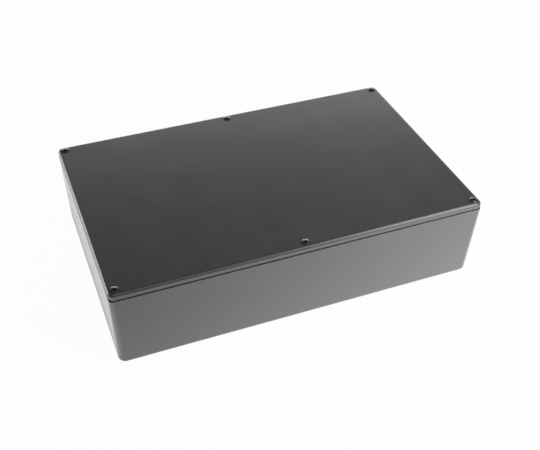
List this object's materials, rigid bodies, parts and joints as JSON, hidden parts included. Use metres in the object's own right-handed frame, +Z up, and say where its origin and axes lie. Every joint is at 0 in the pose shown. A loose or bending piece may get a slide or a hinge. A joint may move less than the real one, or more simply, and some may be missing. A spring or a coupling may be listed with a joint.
{
  "type": "die cast enclosure",
  "caption": "Black powder coated die cast box with drafted walls and a flat lap joint lid held by screws, to house circuit boards and wiring.",
  "frame": {"origin": "centre of the underside of the box", "axes": "+X along the length, -Y is the front long side in the picture, +Z up through the lid"},
  "size_m": [0.275, 0.175, 0.0669],
  "materials": {
    "coated_casting": "fine satin black powder coat on die cast aluminium",
    "coated_lid": "fine satin black powder coat on die cast aluminium",
    "black_screw": "glossy black plated steel"
  },
  "bodies": {
    "base": {"base": "coated_casting"},
    "lid": {"lid": "coated_lid"},
    "screws": {"lid_screws": "black_screw"}
  },
  "joints": [
    {"name": "lid_lift", "type": "slide", "parent": "base", "child": "lid", "axis": [0, 0, 1], "range_m": [0, 0.1]},
    {"name": "screws_out", "type": "slide", "parent": "lid", "child": "screws", "axis": [0, 0, 1], "range_m": [0, 0.0105]}
  ]
}
